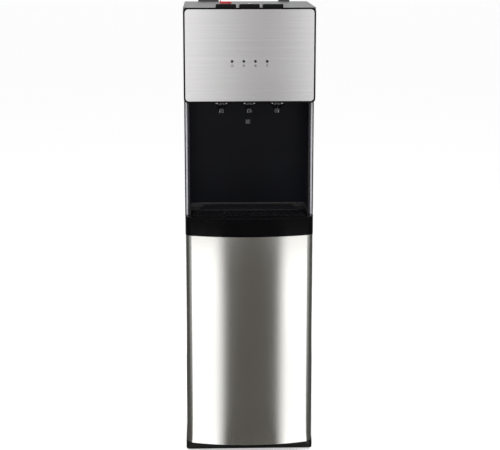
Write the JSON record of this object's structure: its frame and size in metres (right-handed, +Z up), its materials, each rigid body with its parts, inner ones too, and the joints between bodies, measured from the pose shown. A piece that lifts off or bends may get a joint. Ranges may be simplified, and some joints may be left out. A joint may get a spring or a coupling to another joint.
{
  "type": "water cooler",
  "caption": "Floor-standing bottom-load water cooler: steel-faced door over the bottle compartment, dispensing alcove with spouts and drip tray, press keys on top.",
  "frame": {"origin": "on the floor, under the middle of the whole object's box", "axes": "+Z up, the front with the door and the spouts faces -Y, +X to the viewer's right"},
  "size_m": [0.315, 0.36, 1.1162],
  "materials": {
    "side_paint": "satin black powder coat",
    "back_sheet": "plain grey zinc-coated sheet",
    "steel_face": "stainless steel brushed across, with a clear coat",
    "gloss_black": "glossy black moulded plastic",
    "satin_black": "satin black moulded plastic",
    "grey_plastic": "mid grey moulded plastic",
    "trim_grey": "bright grey edge trim",
    "lens": "dark smoked lens",
    "window": "grey translucent window",
    "red_plastic": "deep red plastic",
    "rubber": "black rubber",
    "magnet": "dark magnetic strip",
    "spring_steel": "bright spring wire",
    "tank_steel": "plain stainless steel",
    "copper": "bare copper",
    "foam": "off-white foam",
    "compressor_paint": "black enamel",
    "condenser_paint": "matt black paint",
    "white_plastic": "white food-safe plastic",
    "silicone": "translucent white silicone",
    "pump_plastic": "dark grey plastic",
    "board": "green circuit board",
    "rocker_red": "red rocker",
    "rocker_green": "green rocker",
    "cap_plastic": "dark grey plastic"
  },
  "bodies": {
    "cabinet": {"side_left": "side_paint", "side_right": "side_paint", "back_lower": "back_sheet", "back_upper": "back_sheet", "mid_shelf": "back_sheet", "hinge_upper": "back_sheet", "hinge_lower": "back_sheet", "catch_plate": "back_sheet", "condenser_brackets": "back_sheet", "panel_skin": "steel_face", "panel_frame": "gloss_black", "alcove_shell": "gloss_black", "tray_housing": "gloss_black", "spout_hot": "gloss_black", "spout_room": "gloss_black", "spout_cold": "gloss_black", "base_tray": "satin_black", "top_cover": "satin_black", "wall_spacers": "satin_black", "bottle_floor": "grey_plastic", "key_bed": "grey_plastic", "drain_outlet": "grey_plastic", "alcove_trims": "trim_grey", "indicator_lenses": "lens", "sensor_window": "window", "rear_feet": "rubber", "compressor_mounts": "rubber", "spring_hot": "spring_steel", "spring_room": "spring_steel", "spring_cold": "spring_steel", "cold_tank": "tank_steel", "hot_tank": "tank_steel", "evaporator_coil": "copper", "refrigerant_pipes": "copper", "filter_dryer": "copper", "foam_jacket": "foam", "compressor": "compressor_paint", "condenser": "condenser_paint", "bottle_probe": "white_plastic", "probe_hose": "silicone", "water_pipes": "silicone", "water_pump": "pump_plastic", "microswitches": "pump_plastic", "switch_housing": "pump_plastic", "indicator_board": "board"},
    "door": {"door_skin": "steel_face", "door_liner": "grey_plastic", "door_caps": "gloss_black", "door_magnet": "magnet"},
    "hot_key": {"key_hot": "satin_black"},
    "room_key": {"key_room": "satin_black"},
    "cold_key": {"key_cold": "satin_black"},
    "lock_slider": {"child_lock": "red_plastic"},
    "tray": {"drip_tray": "gloss_black"},
    "grille": {"drip_grille": "gloss_black"},
    "left_foot": {"front_foot_left": "rubber"},
    "right_foot": {"front_foot_right": "rubber"},
    "hot_rocker": {"rocker_hot": "rocker_red"},
    "cold_rocker": {"rocker_cold": "rocker_green"},
    "cap": {"drain_cap": "cap_plastic"}
  },
  "joints": [
    {"name": "door_hinge", "type": "hinge", "parent": "cabinet", "child": "door", "pos_m": [0.14552, -0.14354, 0.29], "axis": [0, 0, 1], "range_deg": [0, 115]},
    {"name": "key_hot_press", "type": "slide", "parent": "cabinet", "child": "hot_key", "axis": [0, 0, -1], "range_m": [0, 0.004], "stiffness_N_per_m": 400, "springref_m": -0.004, "deforming": ["spring_hot"]},
    {"name": "key_room_press", "type": "slide", "parent": "cabinet", "child": "room_key", "axis": [0, 0, -1], "range_m": [0, 0.004], "stiffness_N_per_m": 400, "springref_m": -0.004, "deforming": ["spring_room"]},
    {"name": "key_cold_press", "type": "slide", "parent": "cabinet", "child": "cold_key", "axis": [0, 0, -1], "range_m": [0, 0.004], "stiffness_N_per_m": 400, "springref_m": -0.004, "deforming": ["spring_cold"]},
    {"name": "child_lock_slide", "type": "slide", "parent": "hot_key", "child": "lock_slider", "axis": [0, 1, 0], "range_m": [0, 0.005], "stiffness_N_per_m": 100, "springref_m": -0.003},
    {"name": "drip_tray_lift", "type": "slide", "parent": "cabinet", "child": "tray", "axis": [0, 0, 1], "range_m": [0, 0.1]},
    {"name": "drip_grille_lift", "type": "slide", "parent": "tray", "child": "grille", "axis": [0, 0, 1], "range_m": [0, 0.08]},
    {"name": "rocker_hot_tilt", "type": "hinge", "parent": "cabinet", "child": "hot_rocker", "pos_m": [-0.108, 0.133, 1.025], "axis": [-1, 0, 0], "range_deg": [0, 20]},
    {"name": "rocker_cold_tilt", "type": "hinge", "parent": "cabinet", "child": "cold_rocker", "pos_m": [-0.082, 0.133, 1.025], "axis": [-1, 0, 0], "range_deg": [0, 20]},
    {"name": "drain_cap_pull", "type": "slide", "parent": "cabinet", "child": "cap", "axis": [0, 1, 0], "range_m": [0, 0.03]},
    {"name": "front_foot_left_screw", "type": "slide", "parent": "cabinet", "child": "left_foot", "axis": [0, 0, -1], "range_m": [0, 0.01]},
    {"name": "front_foot_right_screw", "type": "slide", "parent": "cabinet", "child": "right_foot", "axis": [0, 0, -1], "range_m": [0, 0.01]}
  ]
}
